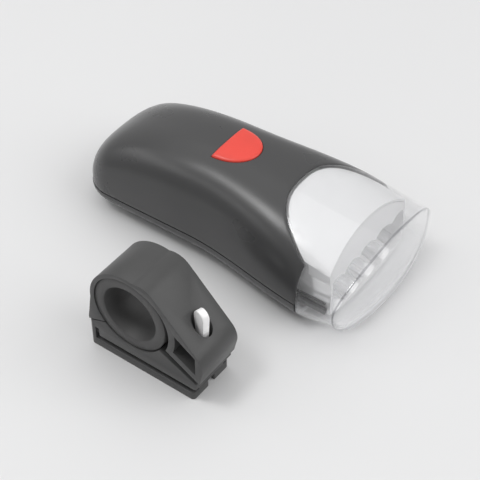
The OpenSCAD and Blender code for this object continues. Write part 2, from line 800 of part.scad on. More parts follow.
module head_screws() {
    grip = bulkhead_t + led_board_t + led_back;
    color(STEEL) lamp_place() both_sides() translate([bulkhead_rear, head_screw_y, head_screw_z])
        rotate([0, 90, 0]) {
            translate([0, 0, -head_screw_head]) cylinder(d = 1.9 * head_screw_d, h = head_screw_head);
            cylinder(d = head_screw_d - 2 * touch_gap, h = grip + head_screw_bite);
        }
}

// Carrier for four cells, two over two, with the plate that holds the lamp board
module battery_tray() {
    side = tray_hw - tray_rail;
    beam_end = bulkhead_rear + bulkhead_t / 2;
    mid_low = tray_mid_z - tray_mid_t / 2;
    plate_side = 5;
    plate_top = 4;
    plate_r = 4;
    plate_w = 2 * (head_screw_y + plate_side);
    plate_h = head_screw_z + plate_top - tray_bottom;
    color(BLACK) lamp_place() difference() {
        union() {
            block([tray_x, -tray_hw, mid_low], [beam_end, tray_hw, mid_low + tray_mid_t]);
            for (x = [tray_x, bay_front])
                block([x, -tray_hw, tray_bottom], [x + tray_wall, tray_hw, tray_top]);
            both_sides() block(
                [tray_x, side, tray_mid_z - cell_d / 2], [tray_end, tray_hw, tray_mid_z + cell_d / 2]
            );
            both_sides() block(
                [tray_end - 1, side, tray_mid_z - cell_d / 2], [beam_end, tray_hw, tray_mid_z + tray_mid_t]
            );
            along_x(bulkhead_t, bulkhead_rear)
                translate([0, tray_bottom + plate_h / 2]) round_rect(plate_w, plate_h, plate_r);
        }
        head_screw_holes(bulkhead_rear, bulkhead_t);
        both_sides() for (x = [bay_rear, bay_front - contact_t - touch_gap]) block(
            [x, cell_side - contact_w / 2 - touch_gap, tray_mid_z - tray_mid_t],
            [x + contact_t + touch_gap, cell_side + contact_w / 2 + touch_gap, tray_mid_z + tray_mid_t]
        );
    }
}

// Round cell with its raised terminal, number 1 to 4: odd ones face forwards
module cell(i) {
    side = i <= 2 ? 1 : -1;
    rise = i % 2 == 1 ? 1 : -1;
    r = cell_d / 2;
    nub = 1;
    nub_r = 1.9;
    soft = 0.6;
    from = bay_rear + contact_t + (rise > 0 ? contact_hump : touch_gap);
    color([0.75, 0.6, 0.2]) lamp_place()
        translate([from + (rise > 0 ? 0 : cell_len), side * cell_side, tray_mid_z + rise * cell_rise])
        rotate([0, rise * 90, 0]) rotate_extrude() polygon([
            [0, 0], [r - soft, 0], [r, soft], [r, cell_len - nub - soft], [r - soft, cell_len - nub],
            [nub_r, cell_len - nub], [nub_r, cell_len], [0, cell_len]
        ]);
}

// Bent strip: flat against the wall, with a hump towards the cell on one level
module contact_strip(y, lean, level) {
    w = contact_w;
    top = tray_mid_z + cell_rise + 3;
    low = tray_mid_z - cell_rise - 3;
    mid = tray_mid_z + level * cell_rise;
    h = contact_hump;
    block([min(0, lean) * contact_t, y - w / 2, low], [max(0, lean) * contact_t, y + w / 2, top]);
    along_y(w - 2, y - w / 2 + 1) polygon([
        [lean * contact_t * 0.5, mid - 3], [lean * (h + contact_t - touch_gap), mid - 0.8],
        [lean * (h + contact_t - touch_gap), mid + 0.8], [lean * contact_t * 0.5, mid + 3],
        [lean * contact_t * 0.5, mid + 2.2], [lean * h, mid + 0.5], [lean * h, mid - 0.5],
        [lean * contact_t * 0.5, mid - 2.2]
    ]);
}

module contacts_front() {
    color(STEEL) lamp_place() for (s = [-1, 1])
        translate([bay_front, 0, 0]) contact_strip(s * cell_side, -1, -1);
}

module contacts_rear() {
    color(STEEL) lamp_place() for (s = [-1, 1])
        translate([bay_rear, 0, 0]) contact_strip(s * cell_side, 1, 1);
}

module control_board() {
    margin = 1.5;
    hw = tray_hw - margin;
    color(GREEN) lamp_place() block([tray_x, -hw, tray_top], [tray_end, hw, board_top]);
}

// Low moulded blob over the chip
module control_chip() {
    r = 4;
    h = 1.3;
    ahead = 11;
    color(BLACK) lamp_place() translate([tray_x + ahead, 0, board_top]) rotate_extrude()
        polygon(concat([[0, 0]], [for (a = [0 : 9 : 90]) [r * cos(a), h * sin(a)]]));
}

// Square switch with a round well for its plunger
module tact_switch() {
    spare = 0.2;
    deep = plunger_in + button_travel + spare;
    color(STEEL) lamp_place() translate([switch_x, 0, board_top]) difference() {
        translate([-switch_w / 2, -switch_w / 2, 0]) cube([switch_w, switch_w, switch_h]);
        translate([0, 0, switch_h - deep]) cylinder(d = plunger_d + 2 * plunger_gap, h = deep + 1);
    }
}

module switch_plunger() {
    color(BLACK) lamp_place() translate([switch_x, 0, switch_top - plunger_in])
        cylinder(d = plunger_d, h = plunger_in + plunger_out);
}

// Bracket profiles, drawn from the bore axis in X and from the ground in Z

fit_gap = 0.03;
liner_r = bar_d / 2 + liner_t;
cradle_r = liner_r + liner_gap;
strap_in = liner_r + fit_gap;
strap_r = strap_in + strap_t;
slant_d = strap_r + slant_rise;
bracket_mid = bracket_w / 2;
pin_x = -pin_back;

function split_line(x) = split_z + (x + foot_rear) * tan(split_a);
function wedge_line(x) = wedge_tip + (wedge_front - x) * tan(wedge_a);
// Lower edge of the strap over the wedge
lip_x = liner_r;
function strap_line(x) =
    let (
        z0 = wedge_line(lip_x) + clamp_gap_rear,
        z1 = wedge_line(strap_front) + clamp_gap_front
    )
    z0 + (z1 - z0) * (x - lip_x) / (strap_front - lip_x);
// Slanted face, drawn in by d
function slant_line(x, d) = bore_z + (slant_d - d - x * cos(slant_a)) / sin(slant_a);

module bore_circle(r) {
    translate([0, bore_z]) circle(r, $fn = 96);
}

module rotate_about_bore(a) {
    translate([0, bore_z]) rotate(a) children();
}

module pin_circle(r) {
    translate([pin_x, pin_z]) circle(r, $fn = 48);
}

module bracket_base() {
    hook = -foot_rear + foot_stop;
    reach = liner_r / 2;
    over = foot_t + groove_h;
    chin = 0.6;
    slit = [1.6, 0.9, 3.4];
    screw_room = 1.2;
    key_hw = 1.7;
    key_len = 2;
    key_roof = foot_t - 0.4;
    color(BLACK) bracket_place() difference() {
        along_y(bracket_w) polygon([
            [-foot_rear, 0], [foot_front, 0], [foot_front, over], [wedge_front, over + chin],
            [wedge_front, wedge_tip], [reach, wedge_line(reach)], [-reach, split_line(-reach)],
            [-foot_rear, split_z]
        ]);
        along_y(bracket_w + 2, -1) bore_circle(cradle_r);
        block([hook, -1, foot_t], [CUT, groove_d, over]);
        block([hook, bracket_w - groove_d, foot_t], [CUT, bracket_w + 1, over]);
        block([hook, -1, over - EPS], [hook + slit.x, slit.y, over + slit.z]);
        eye_slot();
        along_y(bracket_w, pin_skin) pin_circle(pin_d / 2 + fit_gap);
        translate([screw_front, bracket_mid, -1]) cylinder(d = screw_d + screw_room, h = CUT);
        translate([screw_front, bracket_mid, insert_z]) cylinder(d = insert_d + 2 * fit_gap, h = CUT);
        block([foot_front - key_len, bracket_mid - key_hw, -1], [CUT, bracket_mid + key_hw, key_roof]);
        translate([-foot_rear, 0, 0]) corner_cut(0, CUT);
        translate([-foot_rear, bracket_w, 0]) corner_cut(270, CUT);
        translate([foot_front, 0, 0]) corner_cut(90, foot_t);
        translate([foot_front, bracket_w, 0]) corner_cut(180, foot_t);
    }
}

// What a rounded upright edge lacks, for a corner turned by a about Z
module corner_cut(a, h) {
    rotate(a) translate([0, 0, -1]) linear_extrude(h + 1) difference() {
        translate([-1, -1]) square(foot_r + 1);
        translate([foot_r, foot_r]) circle(foot_r);
    }
}

// Room for the strap's hinge eye, open towards the rear
module eye_slot() {
    w = eye_w + 2 * eye_gap;
    r = eye_r + eye_gap;
    along_y(w, bracket_mid - w / 2) {
        pin_circle(r);
        translate([pin_x - CUT, pin_z - r]) square([CUT, CUT]);
        translate([pin_x - EPS, pin_z]) square([r + EPS, CUT]);
    }
}

module clamp_strap() {
    eye_top = bore_z - sqrt(pow(strap_in, 2) - pow(pin_back - eye_r, 2)) - eye_gap;
    well_r = well_d / 2;
    screw_play = 0.16;
    clip_room = 0.4;
    color(BLACK) bracket_place() difference() {
        union() {
            along_y(bracket_w) strap_profile();
            along_y(eye_w, bracket_mid - eye_w / 2) {
                pin_circle(eye_r);
                translate([pin_x - eye_r, pin_z]) square([2 * eye_r, eye_top - pin_z]);
            }
        }
        for (y = [-1, bracket_w - pocket_d]) along_y(pocket_d + 1, y) pocket_profile();
        along_y(bracket_w + 2, -1) pin_circle(pin_d / 2 + pin_gap);
        translate([screw_front, bracket_mid, 0]) {
            cylinder(d = screw_d + screw_play, h = CUT);
            translate([0, 0, well_z]) cylinder(r = well_r, h = CUT);
            translate([0, 0, well_z - well_floor - CUT]) cylinder(r = well_r + clip_room, h = CUT);
        }
    }
}

// Ring over the liner, leg down to the hinge, and the box round the screw with its slanted face
module strap_profile() {
    shoulder_r = 8;
    shoulder_up = 2.6;
    nose_r = 8;
    nose_back = 1.8;
    ease_a = -20;
    leg_top = split_z + 2;
    sunk = 2;
    toe_x = strap_front - nose_back;
    reach = liner_r / 2;
    far = 2 * CUT;
    gap = split_gap / cos(split_a);
    nose_x = strap_front - nose_r;
    difference() {
        union() {
            bore_circle(strap_r);
            polygon([
                [-foot_rear, split_z - 3], [-foot_rear, leg_top], [-strap_r, bore_z - 1],
                [0, bore_z], [-reach, split_line(-reach)]
            ]);
            hull() {
                rotate_about_bore(slant_a)
                    translate([slant_d - shoulder_r, shoulder_up]) circle(shoulder_r, $fn = 48);
                translate([nose_x, slant_line(nose_x, nose_r)]) circle(nose_r, $fn = 48);
                polygon([
                    [0, bore_z], [lip_x, strap_line(lip_x) - sunk], [toe_x, strap_line(toe_x) - sunk]
                ]);
            }
        }
        bore_circle(strap_in);
        rotate_about_bore(ease_a) translate([strap_ease, 0]) circle(strap_in - fit_gap, $fn = 96);
        polygon([
            [-far, split_line(-far) + gap], [-reach, split_line(-reach) + gap],
            [reach, strap_line(reach)], [far, strap_line(far)], [far, -far], [-far, -far]
        ]);
    }
}

// Hollow in each side of the strap's box
module pocket_profile() {
    floor_t = 3;
    top_t = 3.1;
    tip_t = 1.2;
    round_wall = 4.4;
    x0 = strap_in;
    x1 = strap_in + round_wall;
    x2 = strap_front - 3;
    difference() {
        polygon([
            [x0, strap_line(x0) + floor_t], [x2, strap_line(x2) + floor_t],
            [x2, slant_line(x2, tip_t)], [x1, slant_line(x1, top_t)], [x0, slant_line(x1, top_t)]
        ]);
        bore_circle(strap_in + round_wall);
    }
}

module hinge_pin() {
    end = 0.1;
    color(STEEL) bracket_place()
        along_y(bracket_w - pin_skin - 2 * end, pin_skin + end) pin_circle(pin_d / 2);
}

// Split sleeve between the bracket and the handlebar
module liner() {
    inset = 0.4;
    edge = 0.8;
    color([0.16, 0.16, 0.165]) bracket_place() translate([0, 0, bore_z]) difference() {
        translate([0, inset, 0]) rotate([-90, 0, 0]) rotate_extrude($fn = 96) polygon([
            [bar_d / 2, 0], [liner_r - edge, 0], [liner_r, edge],
            [liner_r, bracket_w - 2 * inset - edge], [liner_r - edge, bracket_w - 2 * inset],
            [bar_d / 2, bracket_w - 2 * inset]
        ]);
        block([-liner_slit / 2, -1, -CUT], [liner_slit / 2, bracket_w + 1, 0]);
    }
}

collar_z = well_z + washer_t + touch_gap;

module thumb_screw() {
    spade_z = collar_z + collar_h;
    h = spade_top - spade_z;
    r = spade_w / 2;
    color(SILVER) bracket_place() translate([screw_front, bracket_mid, 0]) {
        translate([0, 0, screw_end]) cylinder(d = screw_d, h = collar_z + EPS - screw_end);
        translate([0, 0, collar_z]) cylinder(d = collar_d, h = collar_h);
        rotate(spade_turn) translate([0, 0, spade_z - EPS]) along_y(spade_t, -spade_t / 2) polygon(concat(
            [[-spade_root / 2, 0], [spade_root / 2, 0]],
            [for (a = [0 : 15 : 180]) [r * cos(a), h - r + r * sin(a)]]
        ));
    }
}

module screw_washer() {
    rim_gap = 0.3;
    bore_gap = 0.15;
    color(STEEL) bracket_place() translate([screw_front, bracket_mid, well_z]) difference() {
        cylinder(d = well_d - 2 * rim_gap, h = washer_t);
        translate([0, 0, -1]) cylinder(d = screw_d + 2 * bore_gap, h = washer_t + 2);
    }
}

// Spring clip on the screw under the strap
module screw_clip() {
    top = well_z - well_floor - touch_gap;
    mouth = 1.6;
    rim_gap = 0.1;
    color(STEEL) bracket_place() translate([screw_front, bracket_mid, top - clip_t])
        difference() {
            cylinder(d = well_d - 2 * rim_gap, h = clip_t);
            translate([0, 0, -1]) cylinder(d = screw_d + 2 * fit_gap, h = clip_t + 2);
            translate([0, -mouth / 2, -1]) cube([well_d, mouth, clip_t + 2]);
        }
}

module threaded_insert() {
    color([0.78, 0.6, 0.28]) bracket_place() translate([screw_front, bracket_mid, insert_z]) difference() {
        cylinder(d = insert_d, h = insert_h);
        translate([0, 0, -1]) cylinder(d = screw_d + 2 * thread_room, h = insert_h + 2);
    }
}

upper_shell();
lower_shell();
shell_screws();
button();
lens();
reflector();
for (i = [1 : 5]) led(i);
led_board();
head_screws();
battery_tray();
for (i = [1 : 4]) cell(i);
contacts_front();
contacts_rear();
control_board();
control_chip();
tact_switch();
switch_plunger();
bracket_base();
clamp_strap();
hinge_pin();
liner();
thumb_screw();
screw_washer();
screw_clip();
threaded_insert();
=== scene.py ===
"""Looks of a bicycle headlight and its handlebar bracket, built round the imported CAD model.

Lengths in the shape code are millimetres, measured as in the CAD source: x along the beam from the
lamp's rear tip, y across, z up from the ground. They become metres where a mesh is made.
"""

import json
import math

import bmesh
import bpy
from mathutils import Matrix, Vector

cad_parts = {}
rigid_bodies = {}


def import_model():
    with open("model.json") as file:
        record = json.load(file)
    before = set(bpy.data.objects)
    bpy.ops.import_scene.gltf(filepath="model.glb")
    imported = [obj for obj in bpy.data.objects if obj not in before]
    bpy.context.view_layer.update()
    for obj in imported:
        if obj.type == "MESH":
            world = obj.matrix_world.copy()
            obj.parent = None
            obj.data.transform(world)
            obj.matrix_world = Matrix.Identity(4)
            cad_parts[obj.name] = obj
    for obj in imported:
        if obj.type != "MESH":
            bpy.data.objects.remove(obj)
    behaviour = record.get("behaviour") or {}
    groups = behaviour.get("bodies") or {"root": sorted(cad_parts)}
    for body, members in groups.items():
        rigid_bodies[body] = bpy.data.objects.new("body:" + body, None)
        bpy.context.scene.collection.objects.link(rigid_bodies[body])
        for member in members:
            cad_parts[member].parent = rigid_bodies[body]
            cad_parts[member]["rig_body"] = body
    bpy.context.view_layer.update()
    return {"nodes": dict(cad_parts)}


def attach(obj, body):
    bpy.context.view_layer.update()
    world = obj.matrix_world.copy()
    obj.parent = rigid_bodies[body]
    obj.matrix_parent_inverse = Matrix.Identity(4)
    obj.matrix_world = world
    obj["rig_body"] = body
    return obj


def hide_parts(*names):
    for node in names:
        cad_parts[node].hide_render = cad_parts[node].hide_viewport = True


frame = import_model()
nodes = frame["nodes"]
scene = bpy.context.scene

MM = 0.001

# Lamp sizes, as in the CAD source

SIDE_LEN = 126.0
FRONT_BOW = 3.4
BODY_W = 48.8
LENS_W = 64.0
CROWN_H = 40.3
CREST_X = 0.46 * SIDE_LEN
ROOF_DROP = 7.1
ROOF_RUN = 0.51 * SIDE_LEN
NOSE_RUN = 17.0
KEEL_RUN = 30.0
FLARE_FROM = 0.44 * SIDE_LEN
FLARE_TO = SIDE_LEN - 8.5
PART_REAR = 9.4
PART_RISE = 2.9
BELLY_H = 1.7
WALL = 2.0
EDGE_T = 1.0
EDGE_LAP = 4.0
EDGE_RAMP = 2.5
EDGE_X = SIDE_LEN - 17.3
APEX_X = SIDE_LEN - 37.0
CORNER_A = 36.0
RIM_Z = 17.6
RIM_LOW = 3.0
RIM_BEAD = 0.6
LENS_SEAM = 0.25
SKIRT_LEN = 3.0
SKIRT_T = 1.0
BOWL_Z = 15.0
REFLECTOR_X = SIDE_LEN - 6.5
HOOD_LEAN = 2.8
SKIRT_GAP = 0.35
BUTTON_X = CREST_X - 1.4
BUTTON_LEN = 14.0
BUTTON_W = 19.5
BUTTON_PROUD = 0.8
BUTTON_GAP = 0.25
ARM_T = 1.6
ARM_GAP = 2.4
ARM_CLEAR = 0.8
ARM_ROOT = 10.0
ARM_TIP = SIDE_LEN - 7.5
SCREW_REAR = 12.0
SCREW_AHEAD = 21.7
SCREW_INSET = 7.0
BOSS_R = 2.95
FLANGE_W = 1.2
FLANGE_T = 1.2
FLANGE_GAP = 0.3

# Sizes of the looks that differ from the CAD source

LENS_T = 0.8
HOOD_D = 1.1
HOOD_T = 1.0
HOOD_GAP = 0.45
HOOD_SETBACK = 0.8
BUTTON_Q = 0.86
ARM_H = 0.7
ARM_LOOK_T = 0.8
ARM_LIFT = 1.2
PART_LIFT = 0.35
PART_FADE = 3.0
SKIN_PROUD = 0.1
SKIN_IN = 0.5
BEAD_X = 0.9
RIM_TUBE = 0.28
RIM_TUBE_TOP = 0.16

# Powers of the curves, as in the CAD source

PLAN_Q = 2.3
ROOF_Q = 2.15
BODY_Q = 2.8
RIM_Q = 1.62
LOWER_Q = 2.8
DROP_Q = 2.4
BLEND_Q = 3.5

LAMP_MID = (SIDE_LEN + FRONT_BOW) / 2
RIM_HW = LENS_W / 2
SKIRT_IN = EDGE_T + SKIRT_GAP


# Lamp surface, the same law as in the CAD source

def smooth(t):
    u = min(1.0, max(0.0, t))
    return u * u * (3 - 2 * u)


def cap(x, run, q):
    if x >= run:
        return 1.0
    return (1 - (1 - max(0.0, x) / run) ** q) ** (1 / q)


def half_w(x, d=0.0):
    flare = smooth((x - FLARE_FROM) / (FLARE_TO - FLARE_FROM))
    return (BODY_W / 2 + (LENS_W - BODY_W) / 2 * flare - d) * cap(x - d, NOSE_RUN, PLAN_Q)


def part_z(x):
    return PART_REAR + PART_RISE * x / EDGE_X


def rim_blend(x):
    """Share of the way from the shells' edge to the lens rim."""
    return smooth((x - EDGE_X) / (SIDE_LEN - EDGE_X))


def waist_z(x):
    k = min(x, SIDE_LEN)
    return part_z(k) + (RIM_Z - part_z(SIDE_LEN)) * rim_blend(k)


def roof_z(x, d=0.0):
    e = waist_z(x)
    t = max(0.0, min(x, SIDE_LEN) - CREST_X) / (SIDE_LEN - CREST_X)
    return e + (CROWN_H - ROOF_DROP * t ** DROP_Q - d - e) * cap(x - d, ROOF_RUN, ROOF_Q)


def keel_z(x, d=0.0):
    e = waist_z(x)
    floor = BELLY_H + (RIM_LOW - BELLY_H) * rim_blend(x)
    return e - (e - floor - d) * cap(x - d, KEEL_RUN, PLAN_Q)


def upper_q(x):
    t = min(1.0, max(0.0, x - CREST_X) / (SIDE_LEN - CREST_X))
    return BODY_Q + (RIM_Q - BODY_Q) * t ** BLEND_Q


def roof_at(x, y, d=0.0):
    e = waist_z(x)
    q = upper_q(x)
    across = min(1.0, abs(y) / half_w(x, d))
    return e + (roof_z(x, d) - e) * (1 - across ** q) ** (1 / q)


def section(x, angle, d=0.0):
    """Point of the section at x, at an angle in degrees from the +Y side over the top, drawn in by d."""
    c = math.cos(math.radians(angle))
    s = math.sin(math.radians(angle))
    q = 2 / (upper_q(x) if s >= 0 else LOWER_Q)
    e = waist_z(x)
    v = roof_z(x, d) - e if s >= 0 else e - keel_z(x, d)
    y = half_w(x, d) * math.copysign(abs(c) ** q, c)
    z = e + v * math.copysign(abs(s) ** q, s)
    return (x, y, z)


def edge_at(angle):
    """Front edge of the shells at an angle: straight down the sides, arched back over the roof."""
    u = abs(angle - 90) / (90 - CORNER_A)
    return APEX_X + (EDGE_X - APEX_X) * u * u if u < 1 else EDGE_X


def bow_x(y):
    return SIDE_LEN + FRONT_BOW * (1 - (y / RIM_HW) ** 2)


# Mesh helpers

def make_object(name, points, faces, lamp=True):
    """A mesh object from points in millimetres; lamp points are measured from the rear tip."""
    shift = LAMP_MID if lamp else 0.0
    mesh = bpy.data.meshes.new(name)
    mesh.from_pydata([((x - shift) * MM, y * MM, z * MM) for x, y, z in points], [], faces)
    mesh.validate()
    obj = bpy.data.objects.new(name, mesh)
    scene.collection.objects.link(obj)
    bm = bmesh.new()
    bm.from_mesh(mesh)
    bmesh.ops.remove_doubles(bm, verts=bm.verts, dist=1e-7)
    bmesh.ops.recalc_face_normals(bm, faces=bm.faces)
    bm.to_mesh(mesh)
    bm.free()
    return obj


def skin(rings, start, end):
    """Points and faces of a closed skin over equal rings, from one end point to the other."""
    m, n = len(rings), len(rings[0])
    points = [p for ring in rings for p in ring] + [start, end]
    faces = []
    for i in range(m - 1):
        for j in range(n):
            h = (j + 1) % n
            faces.append((i * n + j, i * n + h, (i + 1) * n + h, (i + 1) * n + j))
    for j in range(n):
        faces.append((m * n, (j + 1) % n, j))
        faces.append((m * n + 1, (m - 1) * n + j, (m - 1) * n + (j + 1) % n))
    return points, faces


def half_shell(outer, inner):
    """Points and faces of a wall between two open grids of rings."""
    m, n = len(outer), len(outer[0])
    k = m * n
    f = (m - 1) * n
    points = [p for ring in outer for p in ring] + [p for ring in inner for p in ring]
    faces = []
    for i in range(m - 1):
        a, b = i * n, (i + 1) * n
        for j in range(n - 1):
            faces.append((a + j, b + j, b + j + 1, a + j + 1))
            faces.append((k + a + j, k + a + j + 1, k + b + j + 1, k + b + j))
        faces.append((a, k + a, k + b, b))
        faces.append((b + n - 1, k + b + n - 1, k + a + n - 1, a + n - 1))
    for j in range(n - 1):
        faces.append((f + j, k + f + j, k + f + j + 1, f + j + 1))
    faces.append(tuple(range(n)))
    faces.append(tuple(k + j for j in reversed(range(n))))
    faces.append((0, n - 1, k + n - 1, k))
    return points, faces


def cut_with(obj, tools):
    """Takes the tool objects away from obj and deletes them."""
    for tool in tools:
        mod = obj.modifiers.new("cut", "BOOLEAN")
        mod.operation = "DIFFERENCE"
        mod.solver = "EXACT"
        mod.object = tool
    bake(obj)
    for tool in tools:
        bpy.data.objects.remove(tool)


def bake(obj):
    """Applies the object's modifiers to its mesh."""
    bpy.context.view_layer.update()
    shown = obj.evaluated_get(bpy.context.evaluated_depsgraph_get())
    mesh = bpy.data.meshes.new_from_object(shown)
    obj.modifiers.clear()
    obj.data = mesh


def soften(obj, angle=32, bevel=0.0, bevel_angle=32, merge=True):
    """Rounds the sharp edges by bevel millimetres and shades smooth, except across sharp edges."""
    bm = bmesh.new()
    bm.from_mesh(obj.data)
    if merge:
        bmesh.ops.remove_doubles(bm, verts=bm.verts, dist=2e-6)
        bmesh.ops.dissolve_limit(bm, angle_limit=math.radians(0.4), verts=bm.verts, edges=bm.edges)
    if bevel:
        limit = math.radians(bevel_angle)
        sharp = [e for e in bm.edges if len(e.link_faces) == 2 and e.calc_face_angle(0) > limit]
        bmesh.ops.bevel(
            bm, geom=sharp, offset=bevel * MM, segments=2, profile=0.5,
            affect="EDGES", clamp_overlap=True,
        )
    shade(bm, angle)
    bm.to_mesh(obj.data)
    bm.free()


def shade(bm, angle):
    limit = math.radians(angle)
    for face in bm.faces:
        face.smooth = True
    for edge in bm.edges:
        edge.smooth = len(edge.link_faces) != 2 or edge.calc_face_angle(0) < limit


def shade_smooth(obj, angle=32):
    bm = bmesh.new()
    bm.from_mesh(obj.data)
    shade(bm, angle)
    bm.to_mesh(obj.data)
    bm.free()


def dress(obj, node, material):
    """Puts a piece in place of its CAD node, on the node's body, with the given material."""
    obj.data.materials.clear()
    obj.data.materials.append(material)
    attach(obj, nodes[node]["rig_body"])
    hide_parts(node)


def cad_copy(node, material, bevel=0.0, angle=32, bevel_angle=32):
    """A finer copy of a CAD node: rounded edges and smooth curves."""
    obj = bpy.data.objects.new(node + "_look", nodes[node].data.copy())
    scene.collection.objects.link(obj)
    soften(obj, angle, bevel, bevel_angle)
    dress(obj, node, material)
    return obj


# Materials

NOISE_LOW = 0.3
NOISE_HIGH = 0.7
GRAIN_SCALE = 2600.0
SLOW_SCALE = 60.0
CLEAR_SCALE = 90.0
BUMP_DEPTH = 0.0001
SHEEN_ROUGHNESS = 0.3
PAINTED_HAZE_FROM_Z = 0.005
PAINTED_HAZE_TO_Z = 0.013
FACING_GLOSS = 0.04
GLOSS_POWER = 5.0


def new_material(name, color, roughness, metallic=0.0):
    mat = bpy.data.materials.new(name)
    mat.use_nodes = True
    shader = mat.node_tree.nodes["Principled BSDF"]
    shader.inputs["Base Color"].default_value = (*color, 1.0)
    shader.inputs["Roughness"].default_value = roughness
    shader.inputs["Metallic"].default_value = metallic
    return mat, mat.node_tree, shader


def add_noise(tree, scale, detail=3.0):
    coords = tree.nodes.new("ShaderNodeTexCoord")
    noise = tree.nodes.new("ShaderNodeTexNoise")
    noise.inputs["Scale"].default_value = scale
    noise.inputs["Detail"].default_value = detail
    tree.links.new(coords.outputs["Object"], noise.inputs["Vector"])
    return noise.outputs["Fac"]


def add_ramp(tree, fac, stops):
    """A colour ramp over fac; stops are (position, colour)."""
    ramp = tree.nodes.new("ShaderNodeValToRGB")
    while len(ramp.color_ramp.elements) < len(stops):
        ramp.color_ramp.elements.new(0.5)
    for element, (place, color) in zip(ramp.color_ramp.elements, stops):
        element.position = place
        element.color = (*color, 1.0)
    tree.links.new(fac, ramp.inputs["Fac"])
    return ramp.outputs["Color"]


def add_bump(tree, shader, height, strength):
    bump = tree.nodes.new("ShaderNodeBump")
    bump.inputs["Strength"].default_value = strength
    bump.inputs["Distance"].default_value = BUMP_DEPTH
    tree.links.new(height, bump.inputs["Height"])
    tree.links.new(bump.outputs["Normal"], shader.inputs["Normal"])


def vary(tree, shader, socket, fac, low, high):
    """Lets a number socket run from low to high with fac."""
    span = tree.nodes.new("ShaderNodeMapRange")
    span.inputs["From Min"].default_value = NOISE_LOW
    span.inputs["From Max"].default_value = NOISE_HIGH
    span.inputs["To Min"].default_value = low
    span.inputs["To Max"].default_value = high
    tree.links.new(fac, span.inputs["Value"])
    tree.links.new(span.outputs["Result"], shader.inputs[socket])


def moulded(name, color, roughness, grain=0.12, spread=0.05, tone=0.25, sheen=0.0):
    """Moulded plastic: fine grain, slow changes of gloss, a little tone and a soft sheen at the edges."""
    mat, tree, shader = new_material(name, color, roughness)
    shader.inputs["Sheen Weight"].default_value = sheen
    shader.inputs["Sheen Roughness"].default_value = SHEEN_ROUGHNESS
    slow = add_noise(tree, SLOW_SCALE, 4.0)
    dark = tuple(c * (1 - tone) for c in color)
    light = tuple(min(1.0, c * (1 + tone)) for c in color)
    tones = add_ramp(tree, slow, [(NOISE_LOW, dark), (NOISE_HIGH, light)])
    tree.links.new(tones, shader.inputs["Base Color"])
    vary(tree, shader, "Roughness", slow, roughness - spread, roughness + spread)
    add_bump(tree, shader, add_noise(tree, GRAIN_SCALE, 2.0), grain)
    return mat


def metal(name, color, roughness, streak=900.0, grain=0.08, metallic=1.0):
    """Metal with fine tool marks; satin plating has a lower metallic share."""
    mat, tree, shader = new_material(name, color, roughness, metallic)
    fine = add_noise(tree, streak, 4.0)
    vary(tree, shader, "Roughness", fine, roughness * 0.7, roughness * 1.3)
    add_bump(tree, shader, fine, grain)
    return mat


def add_painted_haze(tree, through, low, high):
    """Milky veil on the clear plastic, painted light over the shade seen through the lens: low at the
    bottom of the lens, high higher up.
    """
    coords = tree.nodes.new("ShaderNodeTexCoord")
    parts = tree.nodes.new("ShaderNodeSeparateXYZ")
    span = tree.nodes.new("ShaderNodeMapRange")
    span.inputs["From Min"].default_value = PAINTED_HAZE_FROM_Z
    span.inputs["From Max"].default_value = PAINTED_HAZE_TO_Z
    span.inputs["To Min"].default_value = low
    span.inputs["To Max"].default_value = high
    # Pale milk: painted light that veils the shade behind the lens wall
    painted_milk = tree.nodes.new("ShaderNodeBsdfDiffuse")
    painted_milk.inputs["Color"].default_value = (0.9, 0.9, 0.91, 1.0)
    mix = tree.nodes.new("ShaderNodeMixShader")
    tree.links.new(coords.outputs["Object"], parts.inputs["Vector"])
    tree.links.new(parts.outputs["Z"], span.inputs["Value"])
    tree.links.new(span.outputs["Result"], mix.inputs["Fac"])
    tree.links.new(through.outputs["BSDF"], mix.inputs[1])
    tree.links.new(painted_milk.outputs["BSDF"], mix.inputs[2])
    return mix.outputs["Shader"]


def clear(name, tint, roughness, painted_haze=(0.0, 0.0)):
    """Clear plastic with thin walls: seen straight through, glossier at glancing views. Light passes."""
    mat, tree, shader = new_material(name, (1.0, 1.0, 1.0), roughness, 1.0)
    vary(tree, shader, "Roughness", add_noise(tree, CLEAR_SCALE, 3.0), roughness * 0.5, roughness * 1.5)
    weight = tree.nodes.new("ShaderNodeLayerWeight")
    power = tree.nodes.new("ShaderNodeMath")
    power.operation = "POWER"
    power.inputs[1].default_value = GLOSS_POWER
    share = tree.nodes.new("ShaderNodeMath")
    share.operation = "MULTIPLY_ADD"
    share.inputs[1].default_value = 1 - FACING_GLOSS
    share.inputs[2].default_value = FACING_GLOSS
    through = tree.nodes.new("ShaderNodeBsdfTransparent")
    through.inputs["Color"].default_value = (*tint, 1.0)
    mix = tree.nodes.new("ShaderNodeMixShader")
    rays = tree.nodes.new("ShaderNodeLightPath")
    lit = tree.nodes.new("ShaderNodeMixShader")
    out = tree.nodes["Material Output"]
    tree.links.new(weight.outputs["Facing"], power.inputs[0])
    tree.links.new(power.outputs["Value"], share.inputs[0])
    tree.links.new(share.outputs["Value"], mix.inputs["Fac"])
    tree.links.new(add_painted_haze(tree, through, *painted_haze), mix.inputs[1])
    tree.links.new(shader.outputs["BSDF"], mix.inputs[2])
    tree.links.new(rays.outputs["Is Shadow Ray"], lit.inputs["Fac"])
    tree.links.new(mix.outputs["Shader"], lit.inputs[1])
    tree.links.new(through.outputs["BSDF"], lit.inputs[2])
    tree.links.new(lit.outputs["Shader"], out.inputs["Surface"])
    return mat


